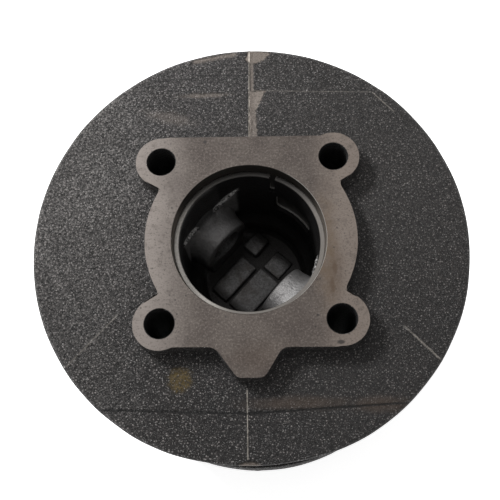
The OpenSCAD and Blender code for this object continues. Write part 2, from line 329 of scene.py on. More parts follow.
def casting_top():
    P = flange_outline()
    n = len(P)
    nor = loop_normals(P)
    ang = np.unwrap(np.arctan2(P[:, 1], P[:, 0]))
    rings = []

    def flat(q, z):
        z = np.full(n, z) if np.isscalar(z) else z
        return np.c_[q, z]

    # machined face
    for t in (0.30, 0.62, 0.8, 0.9, 0.96):
        rings.append(flat(P * t, 0.0))
    wob = 0.10 * smooth_noise(P[:, 0], P[:, 1], np.zeros(n), 3.0, 5.0) + 0.06 * smooth_noise(P[:, 0], P[:, 1], np.zeros(n), 0.9, 9.0)
    edge = P - nor * (0.12 + np.abs(wob))[:, None]
    rings.append(flat(edge - nor * 0.15, 0.0))
    rings.append(flat(edge, 0.0))
    rings.append(flat(P - nor * 0.02 + nor * (wob * 0.5)[:, None], -0.16))
    # cast side with draft and a fillet at its foot
    base = fin_height(P[:, 0], P[:, 1])
    rough = lambda z, s: 0.14 * smooth_noise(P[:, 0], P[:, 1], np.full(n, z), 1.6, s) + 0.10 * smooth_noise(P[:, 0], P[:, 1], np.full(n, z), 5.0, s + 3)
    side_z = np.linspace(-0.5, -3.7, 7)
    for k, z in enumerate(side_z):
        rings.append(flat(P + nor * (0.06 * (-z) + rough(z, 2.0))[:, None], z))
    f = 1.5
    for k in range(1, 8):
        a = k / 7 * math.pi / 2
        off = 0.24 + f * (1 - math.cos(a))
        z = np.full(n, -3.7) + (base + 3.7) * math.sin(a)
        rr = rough(-4.0 - k * 0.2, 2.0) * (1 - k / 9)
        rings.append(flat(P + nor * (off + rr)[:, None], z))
    Q = rings[-1][:, :2]
    # cast face of the fin out to its rim
    M = 86
    rim_r = 1.35
    C = np.c_[np.cos(ang), np.sin(ang)] * (FIN_R - rim_r)
    ts = np.linspace(0, 1, M + 1)[1:]
    for t in ts:
        q = Q * (1 - t) + C * t
        z = fin_height(q[:, 0], q[:, 1])
        lift = np.exp(-t * 26)
        z = z * (1 - lift) + base * lift
        rings.append(flat(q, z))
    # cast unevenness over the whole face
    for k in range(len(rings) - M, len(rings)):
        r = rings[k]
        r[:, 2] += 0.10 * smooth_noise(r[:, 0], r[:, 1], np.zeros(n), 11.0, 1.0) + 0.05 * smooth_noise(r[:, 0], r[:, 1], np.zeros(n), 3.0, 4.0)
    zt = rings[-1][:, 2]
    U = C / (FIN_R - rim_r)
    low_side = np.degrees(np.arctan2(U[:, 0], -U[:, 1]))       # 0 at the lower edge, where the rim is worn flatter
    wr = 0.14 * smooth_noise(U[:, 0] * 60, U[:, 1] * 60, np.zeros(n), 9.0, 7.0) + 0.32 - 1.35 * np.exp(-(low_side / 21.0) ** 2)
    for k in range(1, 6):
        a = k / 6 * math.pi / 2
        rr = FIN_R - rim_r + rim_r * math.sin(a) + wr * k / 6
        rings.append(np.c_[U * rr[:, None], zt - rim_r * (1 - math.cos(a))])
    zb = -8.7
    rb = 1.0
    for k in range(0, 6):
        a = math.pi / 2 * (1 - k / 5)
        rr = FIN_R - rb + rb * math.sin(a) + wr
        rings.append(np.c_[U * rr[:, None], np.full(n, zb + rb - rb * math.cos(a))])
    for r in (50.0, 36.0):
        rings.append(np.c_[U * r, np.full(n, zb)])
    top = grid_obj("casting_top", rings)
    # bore and bolt holes with their edges broken
    cut(top, lathe("c", [(BORE_R, -12), (BORE_R, -0.18), (BORE_R + 0.18, 0.0), (BORE_R + 0.8, 0.6), (BORE_R + 0.8, 1.0)], 256))
    for x, y in BOLT:
        cut(top, lathe("c", [(4.5, -12), (4.5, -0.3), (4.78, 0.0), (5.2, 0.45), (5.2, 1.0)], 72, centre=(x, y, 0)))
    return top


top = casting_top()

# ------------------------------------------------------------------ rest of the casting
WALL_R, TOP_Z = 32.2, -8.72


def arc(cr, cz, rad, a0, a1, n=4):
    return [(cr + rad * math.cos(math.radians(a0 + (a1 - a0) * k / n)), cz + rad * math.sin(math.radians(a0 + (a1 - a0) * k / n))) for k in range(n + 1)]


def barrel_profile():
    """Half section below the first fin: tapered fins, round at the tip and filleted at the root."""
    p = [(WALL_R + 1.6, TOP_Z)] + arc(WALL_R + 1.6, TOP_Z - 1.6, 1.6, 95, 180)[1:]
    for i in range(1, 12):
        zt = -5.7 - 9.2 * i
        zb = zt - 3.0
        p += arc(WALL_R + 1.6, zt + 1.5, 1.6, 180, 268)
        p += [(46.0, zt - 0.12), (58.0, zt - 0.2)]
        p += arc(FIN_R - 1.65, (zt + zb) / 2, 1.3, 88, -88, 7)
        p += [(58.0, zb + 0.2), (46.0, zb + 0.12)]
        p += arc(WALL_R + 1.6, zb - 1.5, 1.6, 92, 180)
    return p + [(WALL_R, -118.0), (WALL_R - 1.0, -119.0)]


def port_flange(body, ear_x, ear_r, t):
    """Oval flange with two ears, standing in the XZ plane, its face at y = 62."""
    pts = []
    for k in range(144):
        a = 2 * math.pi * k / 144
        c, s = math.cos(a), math.sin(a)
        if body >= ear_x * abs(c) + ear_r:
            pts.append((body * c, body * s))
        else:
            pts.append((math.copysign(ear_x, c) + ear_r * c, ear_r * s))
    ob = prism("port", pts, 62.0 - t, 62.0)
    bm = bmesh.new()
    bm.from_mesh(ob.data)
    ed = [e for e in bm.edges if abs(e.verts[0].co.z - e.verts[1].co.z) < 1e-9 and e.verts[0].co.z < (62.0 - t / 2) * MM and e.calc_face_angle(0) > 0.5]
    bmesh.ops.bevel(bm, geom=ed, offset=1.0 * MM, segments=3, profile=0.5, affect="EDGES")
    bm.to_mesh(ob.data)
    bm.free()
    ob.data.transform(Matrix.Rotation(-math.pi / 2, 4, "X"))
    return ob


def moved(ob, x=0.0, y=0.0, z=0.0, turn=0.0):
    if turn:
        ob.data.transform(Matrix.Rotation(turn, 4, "Z"))
    ob.data.transform(Matrix.Translation(Vector((x, y, z)) * MM))
    return ob


def thread(r0, r1, pitch, h0, h1, n=48, axis="Z"):
    """Tapped hole: the crests of a thread along its length."""
    p = [(r0, h0)]
    k = h0
    while k < h1 - pitch:
        p += [(r0, k + pitch * 0.2), (r1, k + pitch * 0.6), (r0, k + pitch)]
        k += pitch
    return lathe("t", p + [(r0, h1)], n, axis=axis)


def lower_casting():
    low = lathe("casting_low", barrel_profile(), 400)
    co = np.empty(len(low.data.vertices) * 3)
    low.data.vertices.foreach_get("co", co)
    co = co.reshape(-1, 3) / MM
    x, y, z = co.T
    r = np.hypot(x, y)
    w = ramp01((r - 40.0) / 20.0)
    tip = ramp01((r - 66.5) / 1.5)
    # slightly wavy fins, uneven tips and the joint of the mould along two sides
    dz = w * (0.16 * smooth_noise(x, y, np.round(z / 4.6) * 9.0, 24.0, 2.0) + 0.05 * smooth_noise(x, y, z, 3.5, 6.0))
    dr = tip * (0.10 * smooth_noise(x, y, z, 9.0, 8.0) - 0.10 + 0.04 * smooth_noise(x, y, z, 1.8, 1.0))
    dr -= tip * 0.8 * np.exp(-(np.degrees(np.arctan2(x, -y)) / 30.0) ** 2)
    for x0, sy in ((1.4, 1), (-1.7, -1)):
        dr += tip * 0.28 * np.exp(-((x - x0) / 0.55) ** 2) * (y * sy > 0)
    k = (r + dr) / np.maximum(r, 1e-6)
    co[:, 0] *= k
    co[:, 1] *= k
    co[:, 2] += dz * (z < TOP_Z - 2.5)
    low.data.vertices.foreach_set("co", (co * MM).ravel())
    low.data.update()
    fins = []
    for j in range(-5, 6):
        y0 = abs(j) * 11.5 + 1.5
        half = math.sqrt(FIN_R ** 2 - y0 ** 2) - 0.6
        fins.append(block("f", (-half, j * 11.5 - 1.45, -138.0), (half, j * 11.5 + 1.45, -108.4), 1.15, seg=4))
    add(low, join(fins))
    cut(low, join([block("r", (-32, 51, -74), (32, 81, -36), 3.0, seg=4), block("r", (51, -28, -50.5), (81, 28, -16.5), 3.0, seg=4),
                   block("r", (-21.5, -80, -77), (21.5, -49.5, -10.5), 2.0, seg=4)]))
    cols = [lathe("c", [(9.6, TOP_Z)] + arc(9.4, TOP_Z - 1.6, 1.6, 95, 180) + [(7.8, -119.2), (7.0, -120.0)], 64, centre=(x, y, 0)) for x, y in BOLT]
    add(low, join(cols))
    add(low, lathe("b", [(16.5, -118.0)] + [(13.0 + q, -119.0 - 2.6 + (2.6 - v)) for q, v in ((2.4, 0.1), (1.2, 0.6), (0.4, 1.5), (0.0, 2.6))] + [(13.0, -125.1), (12.2, -126.0)], 96))
    add(low, join([block("w", (-27.4, s * 26.2 - 3, -119.5), (27.4, s * 26.2 + 3, -110.5), 1.0, seg=3) for s in (-1, 1)]))
    neck = [(19.0, 28.0), (17.6, 33.0), (16.3, 36.0), (16.0, 40.0), (16.0, 51.0), (16.6, 53.0), (16.6, 61.0)]
    add(low, join([lathe("n", neck, 96, axis="Y", centre=(0, 0, -55)),
                   lathe("n", [(r - 3.5, h) for r, h in neck], 96, axis="X", centre=(0, 0, -33))]))
    add(low, join([moved(port_flange(17.0, 21.0, 7.5, 9.5), z=-55), moved(port_flange(13.5, 19.0, 6.5, 8.5), z=-33, turn=-math.pi / 2)]))
    add(low, block("h", (-19.5, -50, -76), (19.5, -20, TOP_Z), 0.5, seg=3))
    # hollows
    cut(low, lathe("bore", [(12, -113), (20.2, -107.2), (20.5, -106.8), (20.5, -104.3), (20.8, -104), (BORE_R, -104), (BORE_R, -8)], 256))
    cut(low, thread(6.4, 7.0, 1.25, -127, -106, 64))
    cut(low, join([lathe("p", [(15.4, -139), (15.0, -137), (15.0, -126.8), (14.2, -126)], 96)]
                  + [lathe("p", [(10.4, -139), (10.0, -137), (10.0, -120)], 64, centre=(x, y, 0)) for x, y in BOLT]))
    cut(low, join([lathe("q", [(5.1, -121), (5.1, -120.05), (4.5, -119.4), (4.5, -8)], 64, centre=(x, y, 0)) for x, y in BOLT]))
    holes = [lathe("d", [(11.0, 30), (11.0, 61.2), (11.6, 62.0), (12.3, 63)], 96, axis="Y", centre=(0, 0, -55)),
             lathe("d", [(8.5, 30), (8.5, 61.3), (9.1, 62.0), (9.8, 63)], 96, axis="X", centre=(0, 0, -33))]
    holes += [moved(thread(3.4, 3.95, 1.25, 48, 63, 40, "Y"), x=s * 21, z=-55) for s in (-1, 1)]
    holes += [moved(thread(2.5, 2.95, 1.0, 50, 63, 40, "X"), y=s * 19, z=-33) for s in (-1, 1)]
    holes += [lathe("s", [(2.5, -51), (2.5, -38)], 40, axis="Y", centre=(s * 14, 0, -42 + z)) for s in (-1, 1) for z in (26, 0, -26)]
    cut(low, join(holes))
    cut(low, join([block("w", (-9, 15, -61), (9, 31, -49), 2.0, seg=4), block("w", (15, -6, -39), (31, 6, -27), 2.0, seg=4),
                   block("w", (-9, -51, -66), (9, -36, -13), 2.5, seg=4)]))
    cut(low, join([block("w", (-8.9, -38, -25), (8.9, -15, -13.1), 1.5, seg=3), block("w", (-8.9, -38, -61), (8.9, -15, -50), 1.5, seg=3)]))
    return low


low = lower_casting()
sharp_by_angle(top, 50)
sharp_by_angle(low, 30)
casting = join([top, low])
casting.name = "cylinder_casting_rough"
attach(casting, "cylinder")
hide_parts("cylinder_casting")

# ------------------------------------------------------------------ piston
SK, CR = -4.8, -54.8
PIN_Z = -34.8
PT = math.radians(-43)


def along_pin(ob, s, centre_u, z):
    """Puts a solid built along X at +u or -u of the pin axis."""
    ob.data.transform(Matrix.Rotation(PT, 4, "Z") @ Matrix.Translation(Vector((s * centre_u, 0, z)) * MM))
    return ob


def in_pin_frame(ob):
    ob.data.transform(Matrix.Rotation(PT, 4, "Z"))
    return ob


def roughen(ob, amp, size, z_max, r_max, seed=3.0):
    """Cast unevenness on the hollow's faces."""
    co = np.empty(len(ob.data.vertices) * 3)
    ob.data.vertices.foreach_get("co", co)
    co = co.reshape(-1, 3) / MM
    r = np.hypot(co[:, 0], co[:, 1])
    w = ramp01((z_max - co[:, 2]) / 2.0) * ramp01((r_max - r) / 1.0)
    for k in range(3):
        co[:, k] += amp * w * smooth_noise(co[:, 0], co[:, 1], co[:, 2], size, seed + 7 * k)
    ob.data.vertices.foreach_set("co", (co * MM).ravel())
    ob.data.update()


def boss_shape(s):
    """One gudgeon pin boss: a broad rounded back, square-cut end, wider where it meets the skirt."""
    pts = []
    n = 96
    rings = []
    for u, rad, flare in ((0.0, 9.0, 0.0), (0.2, 9.5, 0.0), (0.7, 9.9, 0.0), (3.0, 10.1, 0.0), (5.5, 10.4, 0.4), (7.0, 10.9, 1.2), (8.3, 11.8, 2.2), (9.3, 13.0, 3.2), (12.0, 14.0, 3.6)):
        a = np.linspace(0, 2 * math.pi, n, endpoint=False)
        y, z = np.cos(a), np.sin(a)
        # squarish back towards the crown
        k = 1.0 + 0.10 * np.abs(np.sin(2 * a)) * (z < 0)
        rings.append(np.c_[np.full(n, u), (rad + flare * 0.6) * y * k, np.where(z > 0, rad * 0.93 + flare * 0.35, rad) * z * k])
    ob = grid_obj("boss", rings)
    if s < 0:
        ob.data.transform(Matrix.Rotation(math.pi, 4, "Z"))
    return along_pin(ob, s, 12.2, PIN_Z)


def web_bead(s):
    """Rough bead along the skirt wall where the webs beside a boss run up towards the open end."""
    ctl = [(-13.4, -14.4), (-12.6, -15.6), (-10.2, -19.1), (-7.3, -21.8), (-4.4, -24.2), (-2.1, -25.1), (0, -25.3), (2.1, -25.1), (4.4, -24.2), (7.3, -21.8), (10.2, -19.1), (12.6, -15.6), (13.4, -14.4)]
    v = np.interp(np.linspace(0, 12, 73), range(13), [c[0] for c in ctl])
    z = np.interp(np.linspace(0, 12, 73), range(13), [c[1] for c in ctl])
    n = 14
    a = np.linspace(0, 2 * math.pi, n, endpoint=False)
    rings = []
    for k in range(73):
        th = math.asin(v[k] / 22.2)
        w = 1.25 * math.sqrt(max(1 - (abs(v[k]) / 13.6) ** 6, 0.05)) * (1 + 0.22 * math.sin(2.3 * k) * math.cos(1.1 * k + s))
        rr = 22.3 - 1.1 * w * np.cos(a)
        zz = z[k] + 1.15 * w * np.sin(a)
        rings.append(np.c_[rr * math.cos(th), rr * math.sin(th), zz])
    ob = grid_obj("bead", rings)
    if s < 0:
        ob.data.transform(Matrix.Rotation(math.pi, 4, "Z"))
    fix_normals(ob)
    return in_pin_frame(ob)


def piston_piece():
    prof = [(22.9, CR), (23.5, CR + 0.15), (23.94, CR + 0.7)]
    for i in range(3):
        z = CR + 3.5 + 3.6 * i
        prof += [(23.94, z - 0.1), (23.84, z), (21.5, z + 0.02), (21.5, z + 1.88), (23.84, z + 1.9), (23.94, z + 2.0)]
    prof += [(23.94, SK - 0.35), (23.6, SK), (22.0, SK)]
    body = lathe("piston_rough", prof, 256)
    floor = CR + 5.0
    hollow = lathe("h", [(14.0, floor), (17.4, floor + 0.7), (18.6, floor + 2.2), (18.6, CR + 12), (19.4, CR + 13.2), (21.6, CR + 15.2), (22.0, CR + 16.6),
                         (22.0, SK - 7.6), (22.2, SK - 7.1), (22.25, SK - 0.25), (22.5, SK + 0.05), (22.5, SK + 1)], 256)
    for s in (-1, 1):
        cut(hollow, boss_shape(s))
        st = block("s", (0, -8.5, CR + 2), (12, 8.5, PIN_Z), 1.2, seg=3)
        if s < 0:
            st.data.transform(Matrix.Rotation(math.pi, 4, "Z"))
        along_pin(st, s, 12.4, 0)
        cut(hollow, st)
    # what the parts of the core left under the crown: pads at slightly different heights with seams between
    for lo, hi, dz in (((-0.7, -13.5), (8.6, 4.6), 1.5), ((-0.4, 5.3), (7.3, 13.6), 1.1), ((-8.8, -13.6), (-1.5, 3.4), 1.9), ((-10.8, 6.2), (-4.6, 14.2), 3.2)):
        pad = block("pad", (lo[0], lo[1], floor - 1.5), (hi[0], hi[1], floor + dz), 0.7, seg=3)
        cut(hollow, in_pin_frame(pad))
    cut(body, hollow)
    # gudgeon pin hole with its chamfers and circlip grooves
    cut(body, along_pin(lathe("p", [(6.6, -30), (6.6, -24.2), (6.0, -23.4), (6.0, -12.9), (6.6, -12.2), (6.6, 12.2), (6.0, 12.9), (6.0, 23.4), (6.6, 24.2), (6.6, 30)], 72, axis="X"), 1, 0, PIN_Z))
    for s in (-1, 1):
        cut(body, along_pin(lathe("g", [(6.7, -0.55), (6.7, 0.55)], 72, axis="X"), s, 20, PIN_Z))
        cut(body, in_pin_frame(block("w", (-8, s * 20 - 8, SK - 26), (8, s * 20 + 8, SK - 13), 2.2, seg=4)))
    sl = block("sl", (18, -1.0, SK - 11), (26, 1.0, SK + 1), 0.0)
    sl.data.transform(Matrix.Rotation(math.radians(70), 4, "Z"))
    cut(body, sl)
    d = lathe("d", [(10.2, CR - 6), (11.0, CR - 5.8), (11.6, CR - 5.2), (15.0, CR + 0.5)], 96)
    boolean(d, in_pin_frame(block("dh", (-20, -9, CR - 6.5), (20, 0, CR + 1), 0.8)), "INTERSECT")
    add(body, d)
    for s in (-1, 1):
        add(body, web_bead(s))
    return body


piston = piston_piece()
sharp_by_angle(piston, 35)
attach(piston, "piston")
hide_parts("piston")


# ------------------------------------------------------------------ materials
class Tree:
    """Short hand for building a shader."""

    def __init__(self, name):
        self.mat = D.materials.new(name)
        self.mat.use_nodes = True
        self.t = self.mat.node_tree
        self.t.nodes.clear()
        self.out = self.t.nodes.new("ShaderNodeOutputMaterial")
        self.bsdf = self.t.nodes.new("ShaderNodeBsdfPrincipled")
        self.t.links.new(self.bsdf.outputs[0], self.out.inputs[0])
        tc = self.t.nodes.new("ShaderNodeTexCoord")
        m = self.t.nodes.new("ShaderNodeVectorMath")
        m.operation = "SCALE"
        m.inputs["Scale"].default_value = 1000.0
        self.t.links.new(tc.outputs["Object"], m.inputs[0])
        self.p = m.outputs[0]                       # position in mm
        sx = self.t.nodes.new("ShaderNodeSeparateXYZ")
        self.t.links.new(self.p, sx.inputs[0])
        self.x, self.y, self.z = sx.outputs

    def put(self, sock, v):
        if isinstance(v, (int, float)):
            sock.default_value = v
        elif isinstance(v, tuple):
            sock.default_value = v if len(v) == 4 or sock.type == "VECTOR" else (*v, 1.0)
        else:
            self.t.links.new(v, sock)

    def m(self, op, a, b=0.0, c=0.0, clamp=False):
        n = self.t.nodes.new("ShaderNodeMath")
        n.operation = op
        n.use_clamp = clamp
        self.put(n.inputs[0], a)
        self.put(n.inputs[1], b)
        self.put(n.inputs[2], c)
        return n.outputs[0]

    def noise(self, scale, detail=2.0, rough=0.5, vec=None, dist=0.0, col=False):
        """Noise whose features are about 1/scale mm."""
        n = self.t.nodes.new("ShaderNodeTexNoise")
        self.put(n.inputs["Vector"], vec or self.p)
        n.inputs["Scale"].default_value = scale
        n.inputs["Detail"].default_value = detail
        n.inputs["Roughness"].default_value = rough
        n.inputs["Distortion"].default_value = dist
        return n.outputs[1 if col else 0]

    def voronoi(self, scale, vec=None, feature="F1"):
        n = self.t.nodes.new("ShaderNodeTexVoronoi")
        n.feature = feature
        self.put(n.inputs["Vector"], vec or self.p)
        n.inputs["Scale"].default_value = scale
        return n

    def stretch(self, sx, sy, sz, turn=0.0):
        n = self.t.nodes.new("ShaderNodeMapping")
        n.inputs["Scale"].default_value = (sx, sy, sz)
        n.inputs["Rotation"].default_value = (0, 0, turn)
        self.t.links.new(self.p, n.inputs["Vector"])
        return n.outputs[0]

    def band(self, v, lo, hi, a=0.0, b=1.0):
        """Smoothly maps v from lo..hi to a..b."""
        n = self.t.nodes.new("ShaderNodeMapRange")
        n.interpolation_type = "SMOOTHSTEP"
        self.put(n.inputs[0], v)
        n.inputs[1].default_value, n.inputs[2].default_value = lo, hi
        n.inputs[3].default_value, n.inputs[4].default_value = a, b
        return n.outputs[0]

    def mix(self, f, a, b):
        n = self.t.nodes.new("ShaderNodeMix")
        n.data_type = "RGBA"
        self.put(n.inputs[0], f)
        self.put(n.inputs[6], a)
        self.put(n.inputs[7], b)
        return n.outputs[2]

    def mixf(self, f, a, b):
        n = self.t.nodes.new("ShaderNodeMix")
        n.data_type = "FLOAT"
        self.put(n.inputs[0], f)
        self.put(n.inputs[2], a)
        self.put(n.inputs[3], b)
        return n.outputs[0]

    def bump(self, height, dist, strength=1.0, normal=None):
        """height in mm times dist."""
        n = self.t.nodes.new("ShaderNodeBump")
        n.inputs["Strength"].default_value = strength
        n.inputs["Distance"].default_value = dist * MM
        self.put(n.inputs["Height"], height)
        if normal is not None:
            self.t.links.new(normal, n.inputs["Normal"])
        return n.outputs[0]

    def rounded(self, radius):
        n = self.t.nodes.new("ShaderNodeBevel")
        n.samples = 4
        n.inputs["Radius"].default_value = radius * MM
        return n.outputs[0]

    def spot(self, cx, cy, r, soft=0.5, wob=0.35, wscale=0.5, sx=1.0, sy=1.0, turn=0.0):
        """1 inside a blotch at (cx, cy) in mm, seen along Z."""
        c, s = math.cos(turn), math.sin(turn)
        dx, dy = self.m("SUBTRACT", self.x, cx), self.m("SUBTRACT", self.y, cy)
        u = self.m("DIVIDE", self.m("ADD", self.m("MULTIPLY", dx, c), self.m("MULTIPLY", dy, s)), sx)
        v = self.m("DIVIDE", self.m("SUBTRACT", self.m("MULTIPLY", dy, c), self.m("MULTIPLY", dx, s)), sy)
        d = self.m("SQRT", self.m("ADD", self.m("MULTIPLY", u, u), self.m("MULTIPLY", v, v)))
        w = self.noise(wscale, 3.0, 0.6)
        d = self.m("ADD", d, self.m("MULTIPLY", self.m("SUBTRACT", w, 0.5), 2 * wob * r))
        return self.band(d, r * (1 + soft), r * (1 - soft), 0.0, 1.0)

    def line(self, a, b, w, soft=0.3):
        """1 along a segment from a to b in mm, seen along Z."""
        ax, ay = a
        bx, by = b
        L = math.hypot(bx - ax, by - ay)
        c, s = (bx - ax) / L, (by - ay) / L
        dx, dy = self.m("SUBTRACT", self.x, (ax + bx) / 2), self.m("SUBTRACT", self.y, (ay + by) / 2)
        u = self.m("ABSOLUTE", self.m("ADD", self.m("MULTIPLY", dx, c), self.m("MULTIPLY", dy, s)))
        v = self.m("ABSOLUTE", self.m("SUBTRACT", self.m("MULTIPLY", dy, c), self.m("MULTIPLY", dx, s)))
        wig = self.m("MULTIPLY", self.m("SUBTRACT", self.noise(0.9, 2.0, 0.6), 0.5), w * 1.2)
        v = self.m("ADD", v, wig)
        return self.m("MULTIPLY", self.band(v, w * (1 + soft), w * (1 - soft)), self.band(u, L / 2 + w, L / 2 - w))

    def poly(self, pts, soft=0.4, wob=0.8, wscale=0.8):
        """1 inside a convex outline given counterclockwise, in mm, seen along Z."""
        d = None
        for (ax, ay), (bx, by) in zip(pts, pts[1:] + pts[:1]):
            L = math.hypot(bx - ax, by - ay)
            nx, ny = -(by - ay) / L, (bx - ax) / L
            e = self.m("ADD", self.m("MULTIPLY", self.x, nx), self.m("MULTIPLY", self.y, ny))
            e = self.m("SUBTRACT", e, nx * ax + ny * ay)
            d = e if d is None else self.m("MINIMUM", d, e)
        d = self.m("ADD", d, self.m("MULTIPLY", self.m("SUBTRACT", self.noise(wscale, 3.0, 0.65), 0.5), 2 * wob))
        return self.band(d, -soft, soft)

    def finish(self, color, rough, metal, normal=None, spec=0.5):
        self.put(self.bsdf.inputs["Base Color"], color)
        self.put(self.bsdf.inputs["Roughness"], rough)
        self.put(self.bsdf.inputs["Metallic"], metal)
        self.put(self.bsdf.inputs["Specular IOR Level"], spec)
        if normal is not None:
            self.t.links.new(normal, self.bsdf.inputs["Normal"])
        return self.mat


def cast_iron():
    t = Tree("cast_iron_rough")
    # sandy skin of the casting: grains, painted shade in the pits between them and a scatter of painted bright specks
    # standing for glints
    big = t.noise(0.05, 3.0, 0.55)
    mid = t.noise(0.35, 4.0, 0.6)
    grain = t.noise(1.1, 4.0, 0.68)
    fine = t.noise(2.6, 3.0, 0.7)
    vor = t.voronoi(1.25)
    cell = vor.outputs["Distance"]
    tone = t.m("ADD", t.m("MULTIPLY", grain, 0.45), t.m("MULTIPLY", fine, 0.55))
    # painted light and shade: the casting's colour is lighter on the left, where the light falls, darker towards the
    # right and darker towards the bottom
    side = t.band(t.x, -35, 35, 0.0, 1.0)
    low = t.band(t.y, 30, -45, 0.0, 1.0)
    dark = t.mix(side, (0.0125, 0.0117, 0.0122), (0.009, 0.0083, 0.008))
    dark = t.mix(t.m("MULTIPLY", low, 0.6), dark, (0.005, 0.0046, 0.0046))
    light = t.mix(side, (0.174, 0.162, 0.159), (0.056, 0.050, 0.0475))
    light = t.mix(t.m("MULTIPLY", t.band(t.x, -24, -50), 0.75), light, (0.36, 0.34, 0.325))
    light = t.mix(t.m("MULTIPLY", low, t.band(t.x, -50, -15, 0.6, 0.8)), light, (0.022, 0.0185, 0.018))
    col = t.mix(t.band(tone, 0.40, 0.64), dark, light)
    # grains of sand burnt on: small domes, the proud ones painted bright as a highlight, more on the lit left side
    dome = t.band(cell, 0.40, 0.06)
    proud = t.band(t.m("MULTIPLY", vor.outputs["Color"], 1.0), 0.42, 0.72)
    col = t.mix(t.m("MULTIPLY", t.band(big, 0.35, 0.7), 0.35), col, (0.022, 0.018, 0.016))
    col = t.mix(t.m("MULTIPLY", t.band(mid, 0.52, 0.75), 0.3), col, (0.040, 0.035, 0.032))
    # painted glints: bright specks, more of them on the lit left side
    sparkle_f = t.m("MULTIPLY", t.band(t.noise(2.5, 3.0, 0.7), 0.60, 0.65), t.mixf(side, 0.95, 0.5))
    sparkle_f = t.m("MULTIPLY", sparkle_f, t.mixf(low, 1.0, 0.95))
    grit_glint = t.m("MULTIPLY", t.m("MULTIPLY", dome, proud), t.mixf(side, 0.9, 0.5))
    col = t.mix(grit_glint, col, t.mix(low, (0.46, 0.43, 0.415), (0.40, 0.372, 0.358)))
    # painted shade in the hollows between the grains
    col = t.mix(t.m("MULTIPLY", t.m("SUBTRACT", 1.0, t.band(cell, 0.62, 0.42)), 0.6), col, (0.006, 0.0055, 0.0055))
    col = t.mix(t.m("MULTIPLY", sparkle_f, 0.8), col, (0.50, 0.49, 0.48))
    # brown stains
    brown = t.m("MAXIMUM", t.spot(13.5, -50.2, 6, 0.7, 0.5, 0.3, sx=2.2, sy=0.3), t.spot(38, -51, 4, 0.7, 0.5, 0.3, sx=1.8, sy=0.5))
    brown = t.m("MULTIPLY", brown, 0.5)
    col = t.mix(brown, col, (0.066, 0.045, 0.032))
    rust = t.m("MULTIPLY", t.spot(-21.7, -42.6, 3.4, 0.35, 0.5, 0.55), t.band(t.noise(1.6, 3.0, 0.6), 0.38, 0.6, 0.2, 0.75))
    col = t.mix(rust, col, (0.120, 0.082, 0.022))
    # fettled places, where the flash was ground back
    patch = t.poly([(-0.1, 65.2), (1.7, 62.9), (6.0, 64.3), (8.8, 67.3), (1.2, 68.9)], 0.3, 1.1, 1.3)
    patch = t.m("MAXIMUM", patch, t.poly([(0.8, 53.1), (0.8, 45.7), (3.0, 45.6), (6.7, 53.0)], 0.3, 1.1, 1.3))
    patch = t.m("MAXIMUM", patch, t.m("MULTIPLY", t.poly([(0.55, 36.0), (3.4, 36.0), (3.0, 46.6), (0.7, 46.6)], 0.3, 0.9, 1.3), 0.85))
    patch = t.m("MAXIMUM", patch, t.m("MULTIPLY", t.poly([(1.3, 52.5), (2.5, 52.5), (2.7, 63.8), (1.4, 63.8)], 0.3, 0.7, 1.3), 0.8))
    patch = t.m("MAXIMUM", patch, t.m("MULTIPLY", t.line((-18.0, 64.7), (-3.2, 67.3), 0.8, 0.9), 0.8))
    patch = t.m("MAXIMUM", patch, t.m("MULTIPLY", t.spot(-14.5, 52.0, 2.0, 0.6, 0.7, 0.6, sx=3.6, sy=0.42), 0.6))
    patch = t.m("MAXIMUM", patch, t.m("MULTIPLY", t.spot(-25.8, 44.2, 2.0, 0.7, 0.7, 0.5, sx=3.6, sy=1.0, turn=-0.25), 0.42))
    patch = t.m("MAXIMUM", patch, t.spot(-1.3, -68.0, 1.3, 0.3, 0.3, 0.9, sx=2.6, sy=1.0))
    up = t.band(t.z, -9.0, -6.5)
    patch = t.m("MULTIPLY", patch, t.band(t.z, -9.5, -8.0))
    pc = t.mix(t.band(fine, 0.35, 0.65), (0.105, 0.085, 0.071), (0.185, 0.158, 0.137))
    col = t.mix(t.m("MULTIPLY", patch, 0.9), col, pc)
    # parting lines and ridges drawn as bright lines; the two along the top step are painted highlight, where the step's
    # edge faces the light
    flash = t.m("MULTIPLY", t.line((0.55, 36.3), (1.35, 67.8), 0.17, 0.6), t.band(t.noise(1.3, 2.0, 0.6), 0.3, 0.5, 0.5, 1.0))
    flash = t.m("MAXIMUM", flash, t.m("MULTIPLY", t.line((-1.6, -46), (-1.8, -66), 0.16, 0.6), 0.6))
    flash = t.m("MAXIMUM", flash, t.m("MULTIPLY", t.line((46.3, -28.0), (56.2, -38.3), 0.26, 0.8), 0.36))
    flash = t.m("MAXIMUM", flash, t.m("MULTIPLY", t.line((-56.2, -37.6), (-41.0, -21.9), 0.24, 0.8), 0.22))
    flash = t.m("MAXIMUM", flash, t.m("MULTIPLY", t.line((2.0, 53.2), (41.8, 51.0), 0.16, 0.8), 0.18))
    flash = t.m("MAXIMUM", flash, t.m("MULTIPLY", t.line((41.8, 51.0), (48.6, 43.4), 0.18, 0.8), 0.3))
    flash = t.m("MULTIPLY", flash, t.m("MULTIPLY", up, t.band(t.noise(0.7, 3.0, 0.7), 0.3, 0.55, 0.35, 1.0)))
    col = t.mix(flash, col, (0.46, 0.42, 0.37))
    thin = t.m("MULTIPLY", t.line((-17.4, 59.7), (-0.4, 59.0), 0.14, 0.8), 0.8)
    col = t.mix(thin, col, (0.012, 0.012, 0.012))
